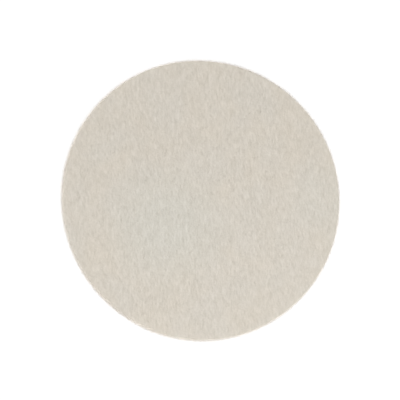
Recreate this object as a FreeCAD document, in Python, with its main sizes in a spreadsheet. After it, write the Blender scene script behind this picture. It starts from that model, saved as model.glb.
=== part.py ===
import FreeCAD, Part
import math
import os

import Sketcher

# A flat felt polishing disc for a lapidary lap plate.
#
# The disc lies flat, working face up: +Z points out of the working face, and the origin is the centre
# of the underside. It is a laminate cut through by one round die, so every layer has the same outline.
# From the underside up: a release liner in two halves, the thin adhesive that bonds to the lap plate,
# a polyester carrier film, the thicker adhesive that wets the felt, and the felt itself.
# All sizes are in millimetres.

SIZES = {
    "disc_diameter": 152.4,  # 6 in, the diameter of a standard lap plate
    "felt_thickness": 6.35,  # 1/4 in
    "felt_edge_radius": 0.7,  # the upper edge, rolled over as the die presses the felt down
    "felt_adhesive_thickness": 0.10,
    "film_thickness": 0.05,
    "plate_adhesive_thickness": 0.05,
    "liner_thickness": 0.12,
    "liner_slit": 0.20,  # the cut that parts the two halves of the liner, so that they can be peeled
}

# Each layer's node name and the cell with its thickness, from the underside up, above the liner.
TAPE_LAYERS = (
    ("plate_side_adhesive", "plate_adhesive_thickness"),
    ("carrier_film", "film_thickness"),
    ("felt_side_adhesive", "felt_adhesive_thickness"),
)


def make_sheet(doc):
    """The spreadsheet that drives the model: a name and a plain number in each row."""
    sheet = doc.addObject("Spreadsheet::Sheet", "Sizes")
    for row, (name, value) in enumerate(SIZES.items(), start=1):
        sheet.set(f"A{row}", name)
        sheet.set(f"B{row}", str(value))
        sheet.setAlias(f"B{row}", name)
    doc.recompute()
    return sheet


def cell(name):
    return "Sizes." + name


def make_sketch(body, name):
    """An empty sketch on the body's own XY plane."""
    sketch = body.newObject("Sketcher::SketchObject", name)
    plane = next(f for f in body.Origin.OriginFeatures if f.Role == "XY_Plane")
    sketch.AttachmentSupport = [(plane, "")]
    sketch.MapMode = "FlatFace"
    return sketch


def add_size(sketch, name, constraint, expression):
    """A named dimension on the sketch, bound to the spreadsheet."""
    sketch.renameConstraint(sketch.addConstraint(constraint), name)
    sketch.setExpression("Constraints." + name, expression)


def pad_sketch(body, sketch, thickness):
    pad = body.newObject("PartDesign::Pad", body.Name + "_pad")
    pad.Profile = sketch
    pad.setExpression("Length", cell(thickness))
    return pad


def stand_on(body, layers_below):
    """Lifts the body by the thickness of every layer under it."""
    body.setExpression("Placement.Base.z", " + ".join(cell(name) for name in layers_below))


def make_round_layer(doc, name, thickness, layers_below):
    """One full round of the laminate."""
    body = doc.addObject("PartDesign::Body", name)
    sketch = make_sketch(body, name + "_outline")
    radius = SIZES["disc_diameter"] / 2
    sketch.addGeometry(Part.Circle(FreeCAD.Vector(0, 0, 0), FreeCAD.Vector(0, 0, 1), radius))
    sketch.addConstraint(Sketcher.Constraint("Coincident", 0, 3, -1, 1))
    add_size(sketch, "across", Sketcher.Constraint("Diameter", 0, 2 * radius), cell("disc_diameter"))
    pad_sketch(body, sketch, thickness)
    stand_on(body, layers_below)
    return body


def roll_upper_edge(doc, body):
    """Rounds the felt's upper rim, where the cutting die drags the wool down with it."""
    doc.recompute()
    pad = body.Tip
    top = pad.Shape.BoundBox.ZMax
    edges = [
        f"Edge{i}"
        for i, edge in enumerate(pad.Shape.Edges, start=1)
        if isinstance(edge.Curve, Part.Circle) and math.isclose(edge.Curve.Center.z, top, abs_tol=1e-6)
    ]
    fillet = body.newObject("PartDesign::Fillet", body.Name + "_rolled_edge")
    fillet.Base = (pad, edges)
    fillet.setExpression("Radius", cell("felt_edge_radius"))
    return fillet


def make_liner_half(doc, name, side):
    """Half of the liner: a D whose straight edge lies half the slit from the Y axis. Side is -1 or 1."""
    body = doc.addObject("PartDesign::Body", name)
    sketch = make_sketch(body, name + "_outline")
    radius = SIZES["disc_diameter"] / 2
    inset = SIZES["liner_slit"] / 2
    reach = math.acos(inset / radius)
    middle = 0 if side > 0 else math.pi
    circle = Part.Circle(FreeCAD.Vector(0, 0, 0), FreeCAD.Vector(0, 0, 1), radius)
    arc = Part.ArcOfCircle(circle, middle - reach, middle + reach)
    chord = Part.LineSegment(arc.EndPoint, arc.StartPoint)
    sketch.addGeometry([arc, chord])
    sketch.addConstraint(
        [
            Sketcher.Constraint("Coincident", 0, 3, -1, 1),
            Sketcher.Constraint("Coincident", 0, 2, 1, 1),
            Sketcher.Constraint("Coincident", 1, 2, 0, 1),
            Sketcher.Constraint("Vertical", 1),
        ]
    )
    add_size(sketch, "rim", Sketcher.Constraint("Radius", 0, radius), cell("disc_diameter") + " / 2")
    origin, corner = (-1, 1), (1, 1)
    ends = origin + corner if side > 0 else corner + origin
    add_size(sketch, "inset", Sketcher.Constraint("DistanceX", *ends, inset), cell("liner_slit") + " / 2")
    pad_sketch(body, sketch, "liner_thickness")
    return body


def make_laminate(doc):
    """Every layer, from the liner up to the felt."""
    bodies = [
        make_liner_half(doc, "release_liner_left", -1),
        make_liner_half(doc, "release_liner_right", 1),
    ]
    layers_below = ["liner_thickness"]
    for name, thickness in TAPE_LAYERS:
        bodies.append(make_round_layer(doc, name, thickness, layers_below))
        layers_below.append(thickness)
    felt = make_round_layer(doc, "felt_disc", "felt_thickness", layers_below)
    roll_upper_edge(doc, felt)
    bodies.append(felt)
    return bodies


def check(doc, bodies):
    """Stops before anything is written if a feature failed or a layer isn't one sound solid."""
    for thing in doc.Objects:
        if {"Invalid", "Error"} & set(thing.State):
            raise RuntimeError(f"{thing.Label} failed to build: {thing.State}")
    for body in bodies:
        shape = body.Shape
        if shape.isNull() or not shape.isValid() or len(shape.Solids) != 1:
            raise RuntimeError(f"{body.Label} is not one valid solid")


def main():
    doc = FreeCAD.newDocument("felt_polishing_disc")
    make_sheet(doc)
    bodies = make_laminate(doc)
    doc.recompute()
    check(doc, bodies)
    os.makedirs("parts", exist_ok=True)
    for body in bodies:
        body.Shape.exportStep(f"parts/{body.Label}.step")
        box = body.Shape.BoundBox
        print(f"{body.Label}: z {box.ZMin:.3f} to {box.ZMax:.3f} mm, {body.Shape.Volume:.1f} mm3")


main()
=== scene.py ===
"""The looks of a flat felt polishing disc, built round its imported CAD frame.

The felt is one closed mesh with the matted relief of pressed wool. Loose fibres lie on its working face
and stand out of its rim and side. Under it, the tape layers and the two halves of the paper liner are
thin sheets with the felt's own outline, because one die cuts them all. Lengths are in metres, in the CAD
frame: +Z out of the working face.
"""

import math

import bpy
import numpy as np
from mathutils import Matrix, Vector


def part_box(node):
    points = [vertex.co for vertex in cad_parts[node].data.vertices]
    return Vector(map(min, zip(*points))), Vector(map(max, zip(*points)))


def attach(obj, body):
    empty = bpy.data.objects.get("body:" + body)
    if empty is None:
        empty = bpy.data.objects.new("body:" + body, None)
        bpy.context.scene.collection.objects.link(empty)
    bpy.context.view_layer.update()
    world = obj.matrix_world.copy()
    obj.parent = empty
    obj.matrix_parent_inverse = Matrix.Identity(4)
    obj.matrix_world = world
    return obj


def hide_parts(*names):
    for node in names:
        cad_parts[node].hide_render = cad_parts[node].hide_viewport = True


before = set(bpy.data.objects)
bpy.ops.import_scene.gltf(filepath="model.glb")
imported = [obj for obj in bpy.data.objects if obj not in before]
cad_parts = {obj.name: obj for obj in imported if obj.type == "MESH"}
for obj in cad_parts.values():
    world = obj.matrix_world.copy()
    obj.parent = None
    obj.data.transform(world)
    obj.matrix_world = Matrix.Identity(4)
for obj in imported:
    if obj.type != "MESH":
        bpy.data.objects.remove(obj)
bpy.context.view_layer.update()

MM = 0.001
FELT_LOW, FELT_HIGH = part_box("felt_disc")
RADIUS = max(FELT_HIGH.x, FELT_HIGH.y)
TOP = FELT_HIGH.z
LAY = math.radians(97)  # the way most of the wool lies on the working face, from +X
EDGE_ROUND = 0.7 * MM  # the rolled upper edge, as in the CAD model

RINGS = 164  # of points on the flat of the working face, about half a millimetre apart
AROUND = 6 * RINGS
ROUND_ROWS = 5  # down the rolled edge
WALL_ROWS = 11  # down the cut side


# Relief grids: arrays of heights with a mean of 0 and a spread of 1, that repeat at their edges.


def strands(rng, count, low, high, lie, spread, length, bend, steps):
    """Gently bent lines scattered over a rectangle: an array of count x steps x 2."""
    middle = rng.uniform(low, high, (count, 2))
    turn = rng.normal(0, bend, count)
    along = np.linspace(-0.5, 0.5, steps)
    heading = (lie + rng.normal(0, spread, count))[:, None] + turn[:, None] * along
    stride = (rng.uniform(*length, count) / (steps - 1))[:, None]
    path = np.stack((np.cos(heading) * stride, np.sin(heading) * stride), -1).cumsum(axis=1)
    return path - path.mean(axis=1, keepdims=True) + middle[:, None]


def deposit(paths, weights, low, cell, shape):
    """Adds up the lines that cross each cell of a grid."""
    index = np.floor((paths - low) / cell).astype(int) % shape
    flat = (index[..., 0] * shape[1] + index[..., 1]).ravel()
    amount = np.repeat(weights, paths.shape[1])
    return np.bincount(flat, amount, minlength=shape[0] * shape[1]).reshape(shape)


def blur(grid, sigma):
    """Gaussian blur by sigma cells along each axis."""
    wave_a = np.fft.fftfreq(grid.shape[0])[:, None] * sigma[0]
    wave_b = np.fft.rfftfreq(grid.shape[1]) * sigma[1]
    kept = np.exp(-2 * math.pi**2 * (wave_a**2 + wave_b**2))
    return np.fft.irfft2(np.fft.rfft2(grid) * kept, grid.shape)


def level(grid):
    return (grid - grid.mean()) / grid.std()


def sample(grid, a, b):
    """Bilinear value of a grid at cell coordinates a and b."""
    a0, b0 = np.floor(a).astype(int), np.floor(b).astype(int)
    fa, fb = a - a0, b - b0
    n, m = grid.shape
    a0, b0, a1, b1 = a0 % n, b0 % m, (a0 + 1) % n, (b0 + 1) % m
    near = grid[a0, b0] * (1 - fb) + grid[a0, b1] * fb
    far = grid[a1, b0] * (1 - fb) + grid[a1, b1] * fb
    return near * (1 - fa) + far * fa


STRAND_WEIGHT = (0.3, 1)  # lightest and heaviest
FACE_REACH = RADIUS + 4 * MM
FACE_CELL = 0.2 * MM
FACE_CELLS = int(2 * FACE_REACH / FACE_CELL)
FACE_STRANDS = 60000
FACE_SPREAD = math.radians(18)  # of the strands from the lay
FACE_LENGTH = (2 * MM, 7 * MM)
FACE_BEND = 0.8
FACE_STEPS = 36
FACE_BLUR = 2  # in cells, as are the other blurs
FACE_SWELL_BLUR = 40
FACE_RELIEF = {"matted": 0.003 * MM, "swell": 0.005 * MM}


def face_grids(rng):
    """The matted wool of the working face and its slow swells."""
    low, high = (-FACE_REACH, -FACE_REACH), (FACE_REACH, FACE_REACH)
    shape = (FACE_CELLS, FACE_CELLS)
    paths = strands(
        rng, FACE_STRANDS, low, high, LAY, FACE_SPREAD, FACE_LENGTH, FACE_BEND, FACE_STEPS
    )
    laid = deposit(paths, rng.uniform(*STRAND_WEIGHT, len(paths)), low, FACE_CELL, shape)
    noise = rng.normal(0, 1, shape)
    swells = blur(noise, (FACE_SWELL_BLUR, FACE_SWELL_BLUR))
    return {"matted": level(blur(laid, (FACE_BLUR, FACE_BLUR))), "swell": level(swells)}


WALL_CELL = (0.25 * MM, 0.1 * MM)  # round the side, and up it
WALL_CELLS = (int(2 * math.pi * RADIUS / WALL_CELL[0]), 80)
WALL_STRANDS = 9000
WALL_SPREAD = math.radians(16)  # of the strands from level
WALL_LENGTH = (1.5 * MM, 7 * MM)
WALL_BEND = 0.35
WALL_STEPS = 40
WALL_BLUR = (1.6, 1.8)
WALL_SWELL_BLUR = (30, 20)
WALL_RELIEF = {"matted": 0.03 * MM, "swell": 0.02 * MM}


def wall_grids(rng):
    """The cut side: the webs of wool lie flat, so their cut ends run round it in thin streaks."""
    low = (0.0, 0.0)
    high = (WALL_CELLS[0] * WALL_CELL[0], WALL_CELLS[1] * WALL_CELL[1])
    paths = strands(
        rng, WALL_STRANDS, low, high, 0.0, WALL_SPREAD, WALL_LENGTH, WALL_BEND, WALL_STEPS
    )
    laid = deposit(paths, rng.uniform(*STRAND_WEIGHT, len(paths)), low, WALL_CELL, WALL_CELLS)
    noise = rng.normal(0, 1, WALL_CELLS)
    return {"matted": level(blur(laid, WALL_BLUR)), "swell": level(blur(noise, WALL_SWELL_BLUR))}


def face_cells(x, y):
    return (x + FACE_REACH) / FACE_CELL, (y + FACE_REACH) / FACE_CELL


def wall_cells(angle, z):
    return (angle % (2 * math.pi)) * RADIUS / WALL_CELL[0], z / WALL_CELL[1]


def relief(grids, sizes, cells):
    """Height above the mean surface, at cell coordinates."""
    return sum(size * sample(grids[name], *cells) for name, size in sizes.items())


# Meshes


def make_piece(name, points, faces, material, body, smooth=True):
    """A mesh piece that rides on a body."""
    mesh = bpy.data.meshes.new(name)
    mesh.from_pydata(points, [], faces)
    mesh.materials.append(material)
    mesh.polygons.foreach_set("use_smooth", np.full(len(mesh.polygons), smooth))
    mesh.update()
    piece = bpy.data.objects.new(name, mesh)
    bpy.context.scene.collection.objects.link(piece)
    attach(piece, body)
    return piece


def disc_points(flat_radius):
    """A centre point and rings of 6, 12, 18 ... points, all about as far apart."""
    rings = [np.zeros((1, 2))]
    for i in range(1, RINGS + 1):
        angle = np.arange(6 * i) * (2 * math.pi / (6 * i))
        rings.append(np.stack((np.cos(angle), np.sin(angle)), -1) * (flat_radius * i / RINGS))
    return np.concatenate(rings)


def disc_triangles():
    """The triangles between each ring of disc_points and the next."""
    found = []
    for i in range(1, RINGS + 1):
        outer = 1 + 3 * i * (i - 1)
        inner, inner_count = (1 + 3 * (i - 1) * (i - 2), 6 * (i - 1)) if i > 1 else (0, 1)
        step = np.arange(6 * i)
        side, k = np.divmod(step, i)
        here, after = outer + step, outer + (step + 1) % (6 * i)
        below = inner + (side * (i - 1) + k) % inner_count
        below_after = inner + (side * (i - 1) + k + 1) % inner_count
        found.append(np.stack((below, here, after), -1))
        found.append(np.stack((below, after, below_after), -1)[k < i - 1])
    return np.concatenate(found)


def rim_profile():
    """Rows down the rolled edge and the side: radius, height, and how far the surface faces outwards."""
    rows = []
    for i in range(1, ROUND_ROWS + 1):
        a = math.pi / 2 * i / ROUND_ROWS
        reach = RADIUS - EDGE_ROUND + EDGE_ROUND * math.sin(a)
        rows.append((reach, TOP - EDGE_ROUND + EDGE_ROUND * math.cos(a), math.sin(a)))
    wall_top = TOP - EDGE_ROUND
    for i in range(1, WALL_ROWS + 1):
        rows.append((RADIUS, wall_top + (FELT_LOW.z - wall_top) * i / WALL_ROWS, 1.0))
    return rows


# The waves of the die-cut outline: how many go round, how far each strays, and where it starts.
OUTLINE_WAVES = (
    (3, 0.16 * MM, 0.4),
    (4, 0.03 * MM, 2.1),
    (5, 0.02 * MM, 4.0),
    (7, 0.012 * MM, 1.2),
    (11, 0.008 * MM, 5.1),
)
PILE_SPANS = 5  # how many spreads of the relief the painted pile shade's 0 to 1 covers


def outline_wobble(angle):
    """How far the die-cut outline strays from a true circle."""
    return sum(size * np.sin(n * angle + start) for n, size, start in OUTLINE_WAVES)


def felt_mesh(face, wall):
    """The felt's points and faces, from the middle of the working face out, down and under."""
    flat = disc_points(RADIUS - EDGE_ROUND)
    angle = np.arctan2(flat[:, 1], flat[:, 0])
    share = np.hypot(flat[:, 0], flat[:, 1]) / RADIUS
    flat = flat * (1 + outline_wobble(angle) / RADIUS * share**3)[:, None]
    height = TOP + relief(face, FACE_RELIEF, face_cells(*flat.T))
    points = [np.column_stack((flat, height))]
    faces = disc_triangles().tolist()
    angle = np.arange(AROUND) * (2 * math.pi / AROUND)
    step = np.arange(AROUND)
    upper = len(flat) - AROUND + step
    for radius, z, outward in rim_profile():
        reach = radius + outline_wobble(angle) + relief(wall, WALL_RELIEF, wall_cells(angle, z)) * outward
        x, y = reach * np.cos(angle), reach * np.sin(angle)
        lift = relief(face, FACE_RELIEF, face_cells(x, y)) * (1 - outward)
        lower = upper[0] + AROUND + step
        points.append(np.column_stack((x, y, z + lift)))
        faces += np.stack((upper, lower, np.roll(lower, -1), np.roll(upper, -1)), -1).tolist()
        upper = lower
    middle = upper[0] + AROUND
    points.append(np.array([[0, 0, FELT_LOW.z]]))
    faces += np.stack((np.full(AROUND, middle), np.roll(upper, -1), upper), -1).tolist()
    return np.concatenate(points), faces


def painted_pile_shade(face, wall, points):
    """How high the mat of fibres stands at each point, from 0 to 1: painted shade, darker where low,
    paler where high.
    """
    x, y, z = points.T
    on_face = sample(face["matted"], *face_cells(x, y))
    on_wall = sample(wall["matted"], *wall_cells(np.arctan2(y, x), z))
    side = np.clip((TOP - z) / EDGE_ROUND, 0, 1)
    return np.clip(0.5 + (on_face * (1 - side) + on_wall * side) / PILE_SPANS, 0, 1)


def sheet_mesh(outline, low, high):
    """A flat sheet between two heights, with an outline that runs anticlockwise seen from above."""
    count = len(outline)
    step = np.arange(count)
    points = [np.column_stack((outline, np.full(count, z))) for z in (low, high)]
    walls = np.stack((step, np.roll(step, -1), count + np.roll(step, -1), count + step), -1)
    return np.concatenate(points), [step[::-1].tolist(), (count + step).tolist()] + walls.tolist()


def die_cut(angle):
    """Points of the outline that the die cuts through every layer."""
    reach = RADIUS + outline_wobble(angle)
    return np.stack((reach * np.cos(angle), reach * np.sin(angle)), -1)


ASKEW = (0.31, 0.17, 0.93)  # a direction that hardly any fibre runs in


def tube_mesh(paths, thickness):
    """Three-sided tubes, pointed at both ends, along count x steps x 3 paths."""
    count, steps = paths.shape[:2]
    ahead = np.gradient(paths, axis=1)
    ahead /= np.linalg.norm(ahead, axis=2, keepdims=True)
    side = np.cross(ahead, ASKEW)
    side /= np.linalg.norm(side, axis=2, keepdims=True)
    over = np.cross(side, ahead)
    turns = np.arange(3) * (2 * math.pi / 3)
    middle = slice(1, steps - 1)
    ring = (
        side[:, middle, None] * np.cos(turns)[:, None] + over[:, middle, None] * np.sin(turns)[:, None]
    ) * (thickness / 2)[:, None, None, None]
    body = (paths[:, middle, None] + ring).reshape(count, -1, 3)
    points = np.concatenate((paths[:, :1], body, paths[:, -1:]), axis=1)
    each = points.shape[1]
    base = (np.arange(count) * each)[:, None, None]
    k = np.arange(3)
    start = np.stack((np.zeros(3, int), 1 + (k + 1) % 3, 1 + k), -1)
    last = each - 4
    end = np.stack((np.full(3, each - 1), last + k, last + (k + 1) % 3), -1)
    row = 1 + 3 * np.arange(steps - 3)[:, None]
    a, b = row + k, row + (k + 1) % 3
    walls = np.stack((a, b, b + 3, a + 3), -1).reshape(-1, 4)
    caps = np.concatenate((start, end))
    faces = (base + caps).reshape(-1, 3).tolist() + (base + walls).reshape(-1, 4).tolist()
    return points.reshape(-1, 3), faces


# Nap: loose fibres that lie on the working face.
NAP_STEPS = 6
NAP_LENGTH = (1.6 * MM, 6 * MM)
NAP_THICKNESS = (0.03 * MM, 0.055 * MM)
NAP_BEND = 0.7
NAP_RISE = 0.004 * MM  # scale of the arch of a fibre out of the face
NAP_ARCH = 0.6  # below 1, so that the middle of the arch is nearly level
NAP_SINK = 0.05 * MM  # how deep its ends are buried
NAP_COUNT = 4000  # of each kind

# Fuzz: fibre ends that stand out of the rim and the side.
FUZZ_STEPS = 5
FUZZ_THICKNESS = (0.025 * MM, 0.05 * MM)
FUZZ_REACH = 0.6 * MM
FUZZ_LONGEST = 1.4 * MM
FUZZ_SINK = 0.1 * MM  # how deep the roots are buried
FUZZ_LOWEST = 0.5 * MM  # clear of the liner and of whatever the disc stands on
FUZZ_HIGHEST = TOP + 0.4 * MM
# How a fibre bends, as shares of how far it stands out.
FUZZ_LEAN = 1.1  # round the disc
FUZZ_CLIMB = 0.3  # up or down
FUZZ_RISE = 0.2  # up, at the top of the rolled edge
FUZZ_CURL = 0.3
FUZZ_BOW = 1.3  # above 1, so that a fibre leans more towards its tip
# Each band of fuzz: its lowest and highest roots, and its number of fibres.
FUZZ_BANDS = {
    "rim_fuzz": (TOP - 1.2 * MM, TOP - 0.02 * MM, 10800),
    "upper_side_fuzz": (TOP - 3.2 * MM, TOP - EDGE_ROUND, 10800),
    "lower_side_fuzz": (FUZZ_LOWEST, TOP - 3.0 * MM, 10800),
}


def nap_paths(rng, face, count, spread):
    """Fibres that arch a little out of the working face, with both ends tucked in."""
    reach = RADIUS - EDGE_ROUND
    low, high = (-reach, -reach), (reach, reach)
    flat = strands(rng, 2 * count, low, high, LAY, spread, NAP_LENGTH, NAP_BEND, NAP_STEPS)
    inside = np.hypot(flat[..., 0], flat[..., 1]).max(axis=1) < reach
    flat = flat[inside][:count]
    rise = rng.gamma(2.0, NAP_RISE, len(flat))
    arch = np.sin(np.linspace(0, math.pi, NAP_STEPS)) ** NAP_ARCH
    z = TOP + relief(face, FACE_RELIEF, face_cells(flat[..., 0], flat[..., 1]))
    z += (rise[:, None] + NAP_SINK) * arch - NAP_SINK
    return np.concatenate((flat, z[..., None]), -1)


def fuzz_paths(rng, count, low, high):
    """Fibre ends that stand out of the rim or side between two heights, each bent its own way."""
    angle = rng.uniform(0, 2 * math.pi, count)
    root_z = rng.uniform(low, high, count)
    above = np.clip((root_z - TOP) / EDGE_ROUND + 1, 0, 1)
    radius = RADIUS - EDGE_ROUND * (1 - np.sqrt(1 - above**2)) + outline_wobble(angle) - FUZZ_SINK
    out = np.minimum(FUZZ_SINK + rng.exponential(FUZZ_REACH, count), FUZZ_LONGEST)
    lean = rng.normal(0, FUZZ_LEAN, count) * out
    climb = (rng.normal(0, FUZZ_CLIMB, count) + above * FUZZ_RISE) * out
    curl = rng.normal(0, FUZZ_CURL, (count, 2)) * out[:, None]
    t = np.linspace(0, 1, FUZZ_STEPS)
    swing = np.sin(math.pi * t)
    r = radius[:, None] + out[:, None] * t
    across = lean[:, None] * t**FUZZ_BOW + curl[:, :1] * swing
    z = root_z[:, None] + climb[:, None] * t + curl[:, 1:] * swing
    turned = angle[:, None] + across / RADIUS
    return np.stack((r * np.cos(turned), r * np.sin(turned), np.clip(z, FUZZ_LOWEST, FUZZ_HIGHEST)), -1)


# Materials

# A Mix node's sockets by number, because those for colours and for numbers share their names.
COLOUR_A, COLOUR_B, COLOUR_OUT = 6, 7, 2
NUMBER_A, NUMBER_B, NUMBER_OUT = 2, 3, 0


class Nodes:
    """A material's node tree, with one short call for each node."""

    def __init__(self, name):
        self.material = bpy.data.materials.new(name)
        self.material.use_nodes = True
        self.tree = self.material.node_tree
        self.shader = self.tree.nodes["Principled BSDF"]

    def add(self, kind, inputs=None, **settings):
        node = self.tree.nodes.new("ShaderNode" + kind)
        for key, value in settings.items():
            setattr(node, key, value)
        for key, value in (inputs or {}).items():
            self.feed(node.inputs[key], value)
        return node

    def feed(self, socket, value):
        if isinstance(value, bpy.types.NodeSocket):
            self.tree.links.new(value, socket)
        else:
            socket.default_value = value

    def set(self, **values):
        """Sets the shader's own sockets, named with _ for a space."""
        for key, value in values.items():
            self.feed(self.shader.inputs[key.replace("_", " ")], value)

    def turned_object(self, angle, scale):
        """Object coordinates turned about Z, moved by the turn, so that no two turns meet, and scaled."""
        where = self.add("TexCoord").outputs["Object"]
        turn = {"Vector": where, "Rotation": (0, 0, -angle), "Location": (angle, 2 * angle, 0)}
        turned = self.add("Mapping", turn, vector_type="POINT").outputs[0]
        return self.add("VectorMath", {0: turned, 1: scale}, operation="MULTIPLY").outputs[0]

    def noise(self, vector, scale=1.0, detail=2.0, roughness=0.5):
        sizes = {"Vector": vector, "Scale": scale, "Detail": detail, "Roughness": roughness}
        return self.add("TexNoise", sizes).outputs["Fac"]

    def remap(self, value, low, high, to_low=0.0, to_high=1.0):
        sizes = {"Value": value, "From Min": low, "From Max": high, "To Min": to_low, "To Max": to_high}
        return self.add("MapRange", sizes).outputs["Result"]

    def mix(self, factor, a, b, blend_type="MIX"):
        """Two colours put together."""
        colours = {"Factor": factor, COLOUR_A: a, COLOUR_B: b}
        return self.add("Mix", colours, data_type="RGBA", blend_type=blend_type).outputs[COLOUR_OUT]

    def blend(self, factor, a, b):
        """A number between a and b."""
        numbers = {"Factor": factor, NUMBER_A: a, NUMBER_B: b}
        return self.add("Mix", numbers, data_type="FLOAT").outputs[NUMBER_OUT]

    def filtered(self, a, b, white):
        """One colour filtered through another, where white lets everything through."""
        product = self.mix(1.0, a, b, "MULTIPLY")
        return self.mix(1.0, product, white, "DIVIDE")

    def math(self, operation, a, b):
        return self.add("Math", {0: a, 1: b}, operation=operation).outputs[0]


def rgb(red, green, blue):
    """An opaque colour, from linear parts of 1."""
    return (red, green, blue, 1.0)


WOOL = rgb(0.556, 0.516, 0.452)
LINER_BUFF = rgb(0.56, 0.50, 0.39)
ADHESIVE_CLEAR = rgb(0.78, 0.74, 0.63)
FILM_CLEAR = rgb(0.82, 0.83, 0.82)
# Broad patches of slightly cooler wool: each one's place, reach and strength.
COOL_PATCHES = (
    (Vector((-20 * MM, -14 * MM, TOP)), 38 * MM, 1.0),
    (Vector((70 * MM, 0.0, TOP)), 26 * MM, 0.5),
)
# Shades of the wool, as shares of its red, green and blue.
# The two ends of the felt's tone, which carries its fibre streaks and the painted pile shade.
DEEP_STREAK = (0.908, 0.905, 0.892)
PALE_STREAK = (1.092, 1.095, 1.108)
WARM_CAST = (1.009, 1.0, 0.989)
PLAIN_CAST = (0.995, 1.0, 1.009)
COOL_CAST = (0.982, 1.013, 1.03)
# Paler than the felt's wool: painted glow for light through the thin fuzz fibres at the rim and side.
FUZZ_PAINTED_GLOW = (1.42, 1.45, 1.55)
# Each kind of nap: its shade, and how far its fibres spread from the lay.
NAP_KINDS = {
    "pale": ((1.16, 1.16, 1.18), math.radians(20)),
    "cream": ((1.02, 1.01, 0.99), math.radians(24)),
    "deep": ((0.94, 0.93, 0.90), math.radians(60)),
}


def shade(colour, red, green, blue):
    return rgb(colour[0] * red, colour[1] * green, colour[2] * blue)


# The layers of fibre in the working face: each one's turn from the lay, and its share.
FACE_LAYERS = ((-0.4, 0.8), (-0.1, 1.0), (0.1, 1.0), (0.4, 0.7), (1.2, 0.55))
FACE_LAYER_SCALE = (260, 900, 900)
CRIMP_SCALE = 1400
CRIMP_SHARE = 0.2
WALL_WEB_SCALE = (500, 500, 3200)
FIBRE_SHARE = 0.9  # of the felt's tone, beside the painted pile shade
TONE_RANGE = (0.387, 0.613)
MOTTLE_SCALE = 55
FELT_BUMP = 0.28 * MM


def face_fibres(nodes):
    """Streaks of wool laid over each other in a few directions, with its crimp, about 0 to 1."""
    total = sum(share for turn, share in FACE_LAYERS)
    fibres = 0.0
    for turn, share in FACE_LAYERS:
        layer = nodes.noise(nodes.turned_object(LAY + turn, FACE_LAYER_SCALE), detail=1)
        fibres = nodes.math("ADD", nodes.math("MULTIPLY", layer, share / total), fibres)
    crimp = nodes.noise(nodes.add("TexCoord").outputs["Object"], scale=CRIMP_SCALE, detail=1)
    return nodes.blend(CRIMP_SHARE, fibres, crimp)


def wall_fibres(nodes):
    """The cut edges of the webs, in thin level streaks."""
    where = nodes.add("TexCoord").outputs["Object"]
    webs = nodes.add("VectorMath", {0: where, 1: WALL_WEB_SCALE}, operation="MULTIPLY").outputs[0]
    return nodes.noise(webs, detail=3, roughness=0.6)


def felt_material():
    nodes = Nodes("pressed_wool")
    where = nodes.add("TexCoord").outputs["Object"]
    height = nodes.add("SeparateXYZ", {0: where}).outputs["Z"]
    facing_up = nodes.remap(height, TOP - EDGE_ROUND, TOP - 0.2 * EDGE_ROUND)
    fibre = nodes.blend(facing_up, wall_fibres(nodes), face_fibres(nodes))
    # Painted shade: the felt is darker where its relief is low and paler where it is high.
    pile_shade = nodes.add("Attribute", attribute_name="pile_shade").outputs["Fac"]
    tone_and_shade = nodes.remap(nodes.blend(FIBRE_SHARE, pile_shade, fibre), *TONE_RANGE)
    streaks_and_shade = nodes.mix(tone_and_shade, shade(WOOL, *DEEP_STREAK), shade(WOOL, *PALE_STREAK))
    mottle = nodes.remap(nodes.noise(where, scale=MOTTLE_SCALE, detail=2), 0.35, 0.65)
    warmth = nodes.mix(mottle, shade(WOOL, *WARM_CAST), shade(WOOL, *PLAIN_CAST))
    coolness = 0.0
    for place, reach, strength in COOL_PATCHES:
        apart = nodes.add("VectorMath", {0: where, 1: place}, operation="DISTANCE").outputs["Value"]
        coolness = nodes.math("ADD", nodes.remap(apart, reach, 0.3 * reach, 0.0, strength), coolness)
    cast = nodes.mix(coolness, warmth, shade(WOOL, *COOL_CAST))
    colour = nodes.filtered(streaks_and_shade, cast, WOOL)
    bump = nodes.add("Bump", {"Strength": 1.0, "Distance": FELT_BUMP, "Height": fibre}).outputs[0]
    nodes.set(
        Base_Color=colour, Roughness=nodes.remap(fibre, 0.3, 0.7, 1.0, 0.85), Normal=bump,
        Specular_IOR_Level=0.2, Sheen_Weight=0.12, Sheen_Roughness=0.5,
        Sheen_Tint=rgb(1.0, 0.98, 0.94),
    )
    return nodes.material


def fibre_material(name, colour):
    """One uniform shade of wool, for fibres too thin to vary along their length."""
    nodes = Nodes(name)
    nodes.set(
        Base_Color=colour, Roughness=0.8, Specular_IOR_Level=0.25, Sheen_Weight=0.15, Sheen_Roughness=0.6
    )
    return nodes.material


def liner_material():
    """Buff siliconised paper: cloudy pulp under a thin slick coat."""
    nodes = Nodes("siliconised_paper")
    where = nodes.add("TexCoord").outputs["Object"]
    clouds = nodes.remap(nodes.noise(where, scale=260, detail=5, roughness=0.65), 0.3, 0.7)
    pulp = nodes.noise(nodes.turned_object(0.0, (900, 3600, 3600)), detail=2)
    colour = nodes.mix(clouds, shade(LINER_BUFF, 0.96, 0.955, 0.94), shade(LINER_BUFF, 1.03, 1.03, 1.04))
    cockle = nodes.noise(where, scale=28, detail=1)
    height = nodes.blend(0.06, cockle, pulp)
    bump = nodes.add("Bump", {"Strength": 0.5, "Distance": 0.25 * MM, "Height": height}).outputs[0]
    nodes.set(
        Base_Color=colour, Roughness=nodes.remap(pulp, 0.3, 0.7, 0.5, 0.6), Normal=bump,
        Specular_IOR_Level=0.25, Coat_Weight=0.06, Coat_Roughness=0.4,
    )
    return nodes.material


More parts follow.
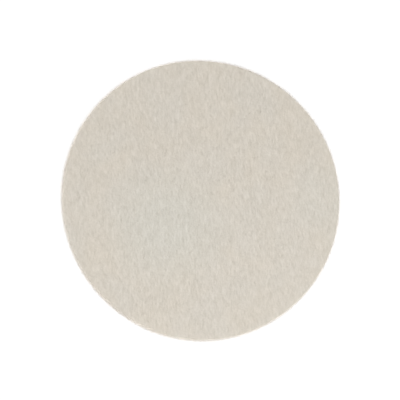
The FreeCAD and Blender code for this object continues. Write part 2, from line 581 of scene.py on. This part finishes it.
def adhesive_material():
    """Clear acrylic adhesive, a little uneven from coating."""
    nodes = Nodes("acrylic_adhesive")
    where = nodes.add("TexCoord").outputs["Object"]
    coating = nodes.remap(nodes.noise(where, scale=180, detail=3), 0.3, 0.7)
    thick, thin = shade(ADHESIVE_CLEAR, 0.96, 0.95, 0.92), shade(ADHESIVE_CLEAR, 1.03, 1.03, 1.05)
    colour = nodes.mix(coating, thick, thin)
    bump = nodes.add("Bump", {"Strength": 0.3, "Distance": 0.05 * MM, "Height": coating}).outputs[0]
    nodes.set(
        Base_Color=colour, Roughness=nodes.remap(coating, 0, 1, 0.18, 0.3), Normal=bump, IOR=1.47
    )
    return nodes.material


def film_material():
    """Clear polyester film, faintly marked by rollers."""
    nodes = Nodes("polyester_film")
    marks = nodes.noise(nodes.turned_object(0.0, (40, 900, 900)), detail=2)
    colour = nodes.mix(nodes.remap(marks, 0.3, 0.7), shade(FILM_CLEAR, 0.98, 0.98, 0.98), FILM_CLEAR)
    nodes.set(Base_Color=colour, Roughness=nodes.remap(marks, 0.3, 0.7, 0.08, 0.16), IOR=1.6)
    return nodes.material


# The pieces


def make_felt(face, wall):
    points, faces = felt_mesh(face, wall)
    felt = make_piece("felt", points, faces, felt_material(), "pad")
    # The height of the relief, kept for the material's painted shade.
    pile_shade = felt.data.attributes.new("pile_shade", "FLOAT", "POINT")
    pile_shade.data.foreach_set("value", painted_pile_shade(face, wall, points).astype(np.float32))
    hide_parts("felt_disc")


def make_fibres(rng, name, paths, thickness, material):
    points, faces = tube_mesh(paths, rng.uniform(*thickness, len(paths)))
    make_piece(name, points, faces, material, "pad")


def make_layer(name, node, outline, material, body):
    """A sheet of the laminate, as thick as its CAD node."""
    low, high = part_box(node)
    points, faces = sheet_mesh(outline, low.z, high.z)
    layer = make_piece(name, points, faces, material, body, smooth=False)
    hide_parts(node)


def make_tape():
    outline = die_cut(np.arange(AROUND) * (2 * math.pi / AROUND))
    adhesive = adhesive_material()
    for side in ("plate", "felt"):
        node = side + "_side_adhesive"
        make_layer(side + "_side_tack", node, outline, adhesive, "pad")
    make_layer("film", "carrier_film", outline, film_material(), "pad")


def make_liner():
    """Two D shapes of paper that meet at a slit across the underside."""
    paper = liner_material()
    for side, middle in (("left", math.pi), ("right", 0.0)):
        node = "release_liner_" + side
        low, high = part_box(node)
        inset = min(abs(low.x), abs(high.x))
        reach = math.acos(inset / RADIUS)
        outline = die_cut(np.linspace(middle - reach, middle + reach, AROUND // 2))
        outline[[0, -1], 0] = math.copysign(inset, math.cos(middle))
        make_layer("liner_" + side + "_paper", node, outline, paper, "liner_" + side)


def make_nap(rng, face):
    for kind, (shares, spread) in NAP_KINDS.items():
        wool = fibre_material(kind + "_wool", shade(WOOL, *shares))
        paths = nap_paths(rng, face, NAP_COUNT, spread)
        make_fibres(rng, kind + "_face_fibres", paths, NAP_THICKNESS, wool)


def make_fuzz(rng):
    # The fuzz is painted paler than the felt, a glow for light through its thin fibres.
    wool = fibre_material("painted_glow_wool", shade(WOOL, *FUZZ_PAINTED_GLOW))
    for name, (low, high, count) in FUZZ_BANDS.items():
        make_fibres(rng, name, fuzz_paths(rng, count, low, high), FUZZ_THICKNESS, wool)


def build_object():
    rng = np.random.default_rng(6)
    face, wall = face_grids(rng), wall_grids(rng)
    make_felt(face, wall)
    make_tape()
    make_liner()
    make_nap(rng, face)
    make_fuzz(rng)


# Floor, lights and camera

FLOOR_SIZE = 6.0
FLOOR_DROP = 0.02 * MM  # a hair below the liner
FLOOR_ALBEDO = 0.15
FLOOR_GLOW = 0.9
# The tent's brightness by the height of the direction: white at the horizon, bright sides, dim overhead.
TENT = ((0.0, 1.08), (0.03, 1.08), (0.08, 3.7), (0.3, 3.7), (0.5, 0.2))
KEY_PLACE = (0.18, -0.6, 0.8)
KEY_SIZE = 0.6
KEY_POWER = 5.8
FILL_PLACE = (-0.45, 0.65, 0.1)
FILL_SIZE = 0.2
FILL_POWER = 1.8
LENS, SENSOR = 150.0, 36.0
TILT = math.radians(11.5)  # of the view from the disc's axis
TILT_TOWARDS = Vector((-0.852, -0.524, 0.0))  # the side of the disc that the view leans to
VIEW_WIDTH = 217.9 * MM  # seen across the middle of the picture
AIM = Vector((-1.04 * MM, -0.20 * MM, TOP / 2))


def make_floor():
    bpy.ops.mesh.primitive_plane_add(size=FLOOR_SIZE, location=(0, 0, -FLOOR_DROP))
    floor = bpy.context.object
    floor.name = "floor"
    nodes = Nodes("white_floor")
    nodes.set(
        Base_Color=rgb(FLOOR_ALBEDO, FLOOR_ALBEDO, FLOOR_ALBEDO), Roughness=1.0, Specular_IOR_Level=0.0,
        Emission_Color=rgb(1, 1, 1), Emission_Strength=FLOOR_GLOW,
    )
    floor.data.materials.append(nodes.material)


def add_light(name, location, size, power):
    """A round lamp that faces the middle of the scene."""
    data = bpy.data.lights.new(name, "AREA")
    data.shape = "DISK"
    data.size = size
    data.energy = power
    light = bpy.data.objects.new(name, data)
    bpy.context.scene.collection.objects.link(light)
    light.location = location
    aim = -Vector(location)
    light.rotation_euler = aim.to_track_quat("-Z", "Y").to_euler()


def light_scene():
    """A white tent lit from its sides, with a large lamp above and a small one low behind."""
    world = bpy.data.worlds.new("studio")
    bpy.context.scene.world = world
    world.use_nodes = True
    tree = world.node_tree
    way = tree.nodes.new("ShaderNodeTexCoord").outputs["Generated"]
    parts = tree.nodes.new("ShaderNodeSeparateXYZ")
    ramp = tree.nodes.new("ShaderNodeValToRGB")
    tree.links.new(way, parts.inputs[0])
    tree.links.new(parts.outputs["Z"], ramp.inputs["Fac"])
    stops = ramp.color_ramp.elements
    while len(stops) < len(TENT):
        stops.new(1.0)
    for stop, (height, glow) in zip(stops, TENT):
        stop.position = height
        stop.color = rgb(glow, glow, glow)
    tree.links.new(ramp.outputs["Color"], tree.nodes["Background"].inputs["Color"])
    add_light("key", KEY_PLACE, KEY_SIZE, KEY_POWER)
    add_light("fill", FILL_PLACE, FILL_SIZE, FILL_POWER)
    bpy.context.scene.view_settings.view_transform = "Standard"


def place_camera():
    data = bpy.data.cameras.new("camera")
    data.lens, data.sensor_width = LENS, SENSOR
    camera = bpy.data.objects.new("camera", data)
    bpy.context.scene.collection.objects.link(camera)
    distance = VIEW_WIDTH * LENS / SENSOR
    back = TILT_TOWARDS.normalized() * math.sin(TILT) + Vector((0, 0, math.cos(TILT)))
    right = Vector((0, 1, 0)).cross(back).normalized()
    up = back.cross(right)
    turn = Matrix((right, up, back)).transposed().to_4x4()
    camera.matrix_world = Matrix.Translation(AIM + back * distance) @ turn
    data.clip_start, data.clip_end = distance / 20, distance * 20
    bpy.context.scene.camera = camera


place_camera()
build_object()
make_floor()
light_scene()
